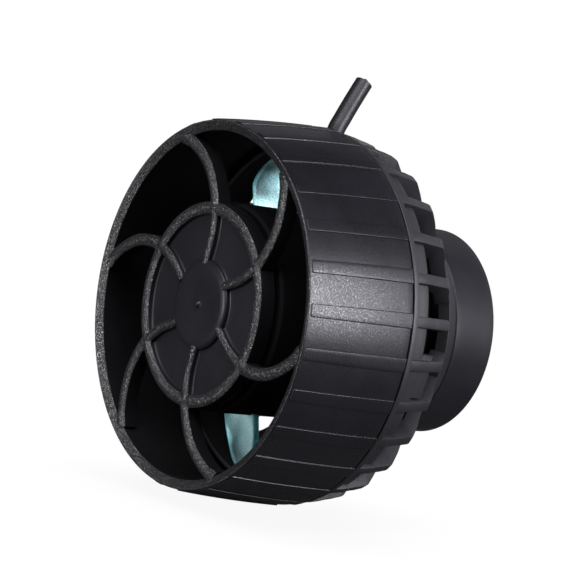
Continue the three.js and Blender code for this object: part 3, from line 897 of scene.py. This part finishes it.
# ------------------------------------------------------------------ cable and gland
CABLE_R = 2.5
CABLE_PATH = [(0, GLAND_Y, 25.2), (0, GLAND_Y, 30.0), (0, -39.6, 34.5), (0, -41.5, 40.0),
              (0, -44.0, 45.5), (0, -45.2, 50.0), (0, -44.8, 52.8), (0, -43.5, 55.6),
              (0, -41.55, 59.6), (0, -39.6, 63.4), (0, -37.8, 66.8)]
CABLE_MATS = [CABLE_JACKET, RUBBER, COPPER]
# each core's sheath and conductor: radius, start and end from the cable's end, material slot
CORE_LAYERS = [(0.78, -0.6, 0.35, 1), (0.42, -0.3, 0.6, 2)]


def smooth_path(points, steps=10):
    """a Catmull-Rom curve through the points"""
    knots = [np.array(point, float) for point in points]
    knots = [2 * knots[0] - knots[1]] + knots + [2 * knots[-1] - knots[-2]]
    path = []
    for i in range(1, len(knots) - 2):
        before, start, end, after = knots[i - 1:i + 3]
        for k in range(steps):
            t = k / steps
            path.append(0.5 * (2 * start + (-before + end) * t
                               + (2 * before - 5 * start + 4 * end - after) * t ** 2
                               + (-before + 3 * start - 3 * end + after) * t ** 3))
    path.append(knots[-2])
    return path


def ring_round(centre, tangent, radius, steps):
    """a circle square to a tangent that lies in the YZ plane"""
    sideways = np.array([1.0, 0, 0])
    upward = np.cross(tangent, sideways)
    return [tuple(centre + radius * (cos * sideways + sin * upward))
            for cos, sin in circle(1.0, steps)]


def build_cable():
    steps, chamfer = 40, 0.12
    path = smooth_path(CABLE_PATH)
    last = len(path) - 1
    tangents = []
    for i in range(last):
        step = path[i + 1] - path[max(0, i - 1)]
        tangents.append(step / np.linalg.norm(step))
    end, end_tangent = path[last], tangents[-1]
    rings = [ring_round(path[0], tangents[0], 2.35, steps),
             ring_round(path[0] + tangents[0] * chamfer, tangents[0], CABLE_R, steps)]
    rings += [ring_round(path[i], tangents[i], CABLE_R, steps) for i in range(1, last)]
    rings.append(ring_round(end - end_tangent * chamfer, end_tangent, CABLE_R, steps))
    rings.append(ring_round(end, end_tangent, 2.36, steps))
    cable = loft_object("cable", rings, CABLE_MATS)
    cores = []
    for middle in ring_round(end, end_tangent, 1.12, 12)[3::4]:     # three cores, 120 deg apart
        for radius, start, stop, slot in CORE_LAYERS:
            stations = ((start, 0.0), (stop - 0.08, 0.0), (stop, 0.08))
            core = [ring_round(middle + end_tangent * along, end_tangent, radius - inset, 24)
                    for along, inset in stations]
            cores.append(loft_object("core", core, CABLE_MATS, slot))
    return boolean(cable, cores)


# radius from the cable's axis, z
GLAND = [(2.8, 25.6), (3.5, 25.6), (3.5, 28.6), (4.6, 28.6), (4.6, 30.6), (4.25, 31.0),
         (4.15, 31.5), (3.75, 31.6), (3.75, 31.9), (4.1, 32.0), (4.05, 32.6), (3.65, 32.7),
         (3.65, 33.0), (3.95, 33.1), (3.85, 33.6), (2.8, 33.6)]


def build_gland():
    profile = fillet([(radius, z, 0.12) for radius, z in GLAND], 2)
    rings = [[(x, y, z) for x, y in circle(radius, 96, 0.0, GLAND_Y)] for radius, z in profile]
    return loft_object("cable_gland_fine", rings, [RUBBER], closed=True)


place(build_cable(), "pump_body", "power_cable")
place(build_gland(), "pump_body", "cable_gland")

# ------------------------------------------------------------------ materials of the CAD nodes
NODE_MATS = [
    (RUBBER, ("front_shaft_cushion", "rear_shaft_cushion", "housing_seal", "potting_plug",
              "glass_pad", "cable_gland")),
    (CERAMIC, ("front_bushing", "front_thrust_washer", "rear_bushing", "rear_thrust_washer",
               "ceramic_shaft")),
    (NICKEL, ("rotor_magnet", "mount_magnet")),
    (STEEL, ("magnet_yoke",)),
    (LAMINATIONS, ("stator_core",)),
    (BOARD, ("drive_board",)),
    (CUP_PLASTIC, ("rear_cup",)),
    (CAGE_PLASTIC, ("intake_cage",)),
    (RING_PLASTIC, ("front_shroud",)),
    (AQUA, ("propeller",)),
    (CABLE_JACKET, ("power_cable",)),
]


def node_material(name):
    """a node that isn't listed and is no coil or screw is body plastic"""
    for material, names in NODE_MATS:
        if name in names:
            return material
    if name.startswith("stator_coil"):
        return COPPER
    return STEEL if name.startswith("cover_screw") else BODY_PLASTIC


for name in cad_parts:
    carried = bpy.data.objects.get(name)
    if carried is not None:
        carried.data.materials.clear()
        carried.data.materials.append(node_material(name))


# ------------------------------------------------------------------ stage (metres)
def seen_directly(tree, path):
    """1 for camera rays and for rays sent on through clear plastic"""
    return calc(tree, "MAXIMUM", path["Is Camera Ray"], path["Is Transmission Ray"])


def floor_material():
    """white to the eye with a faint contact shadow, dark grey to the light it bounces"""
    material = bpy.data.materials.new("pale_floor")
    tree = empty_tree(material)
    output = add_node(tree, "OutputMaterial")
    path = add_node(tree, "LightPath").outputs
    occlusion = add_node(tree, "AmbientOcclusion", {"Distance": 0.035}, samples=8)
    shadow = remap(tree, occlusion.outputs["AO"], span=(0.35, 0.92), to=(0.93, 1.0))
    glow = add_node(tree, "Emission", {"Color": (1, 1, 1, 1), "Strength": shadow})
    grey = add_node(tree, "BsdfDiffuse", {"Color": (0.10, 0.10, 0.10, 1)})
    mix = add_node(tree, "MixShader", {"Fac": seen_directly(tree, path),
                                       1: grey.outputs["BSDF"], 2: glow.outputs["Emission"]})
    set_inputs(tree, output, {"Surface": mix.outputs["Shader"]})
    return material


def build_floor():
    z, half = -0.0540, 3.0
    corners = [(-half, -half, z), (half, -half, z), (half, half, z), (-half, half, z)]
    mesh = bpy.data.meshes.new("floor")
    mesh.from_pydata(corners, [], [(0, 1, 2, 3)])
    floor = bpy.data.objects.new("floor", mesh)
    bpy.context.scene.collection.objects.link(floor)
    mesh.materials.append(floor_material())


def build_world():
    """white where seen directly, brighter through clear plastic, and dim for all other rays"""
    world = bpy.data.worlds.new("studio")
    bpy.context.scene.world = world
    tree = empty_tree(world)
    output = add_node(tree, "OutputWorld")
    path = add_node(tree, "LightPath").outputs
    dim = add_node(tree, "Background", {"Color": (0.035, 0.035, 0.038, 1)})
    strength = calc(tree, "MULTIPLY_ADD", path["Is Transmission Ray"], 8.0, 1.0)
    white = add_node(tree, "Background", {"Color": (1, 1, 1, 1), "Strength": strength})
    bounces = calc(tree, "ADD", path["Glossy Depth"], path["Diffuse Depth"])
    unbounced = calc(tree, "LESS_THAN", bounces, 0.5)
    factor = calc(tree, "MULTIPLY", seen_directly(tree, path), unbounced)
    mix = add_node(tree, "MixShader", {"Fac": factor, 1: dim.outputs[0], 2: white.outputs[0]})
    set_inputs(tree, output, {"Surface": mix.outputs[0]})


def add_camera(azimuth, elevation, roll, distance, shift_right, shift_up, lens):
    """looks at the middle of the rim plane; the shifts slide it sideways in its own frame"""
    azimuth, elevation, roll = map(math.radians, (azimuth, elevation, roll))
    back = Vector((math.sin(azimuth) * math.cos(elevation),
                   -math.cos(azimuth) * math.cos(elevation), math.sin(elevation)))
    level = Vector((math.cos(azimuth), math.sin(azimuth), 0.0))
    upright = back.cross(level)
    right = level * math.cos(roll) + upright * math.sin(roll)
    up = -level * math.sin(roll) + upright * math.cos(roll)
    rim_centre = Vector((0.0, -LENGTH * MM, 0.0))
    spot = rim_centre + back * distance + right * shift_right + up * shift_up
    data = bpy.data.cameras.new("camera")
    data.lens = lens
    data.sensor_width = 36.0
    data.clip_start = 0.01
    data.clip_end = 20.0
    camera = bpy.data.objects.new("camera", data)
    bpy.context.scene.collection.objects.link(camera)
    camera.matrix_world = Matrix((*zip(right, up, back, spot), (0, 0, 0, 1)))
    bpy.context.scene.camera = camera


def add_light(name, toward, distance, size, power, color=(1, 1, 1)):
    """an area light in a direction from the pump's middle, facing it"""
    middle, direction = Vector((0.0, -0.055, 0.0)), Vector(toward).normalized()
    data = bpy.data.lights.new(name, "AREA")
    data.shape = "RECTANGLE"
    data.size, data.size_y = size
    data.energy = power
    data.color = color
    light = bpy.data.objects.new(name, data)
    bpy.context.scene.collection.objects.link(light)
    facing = direction.to_track_quat("Z", "Y").to_matrix().to_4x4()
    light.matrix_world = Matrix.Translation(middle + direction * distance) @ facing
    light.visible_camera = False
    light.visible_transmission = False


build_floor()
build_world()
add_camera(azimuth=53.0359, elevation=3.0, roll=9.1014, distance=0.65,
           shift_right=0.02593925, shift_up=0.003094573, lens=148.81276)
add_light("front", toward=(-0.10, -1.0, 0.05), distance=0.9, size=(0.40, 0.22), power=5.4)
add_light("side", toward=(0.913, 0.326, 0.240), distance=0.8, size=(0.30, 0.44), power=8.2,
          color=(0.98, 0.965, 1.05))
add_light("rear", toward=(-0.72, 0.52, 0.46), distance=1.0, size=(0.9, 0.6), power=0.3)
add_light("back", toward=(0.10, 1.0, 0.34), distance=1.2, size=(1.7, 1.2), power=3.6,
          color=(0.98, 0.97, 1.04))
add_light("over", toward=(0.50, -0.45, 0.90), distance=1.2, size=(1.2, 0.9), power=20.0,
          color=(0.99, 0.97, 1.04))

bpy.context.scene.view_settings.view_transform = "Standard"
bpy.context.scene.view_settings.look = "None"
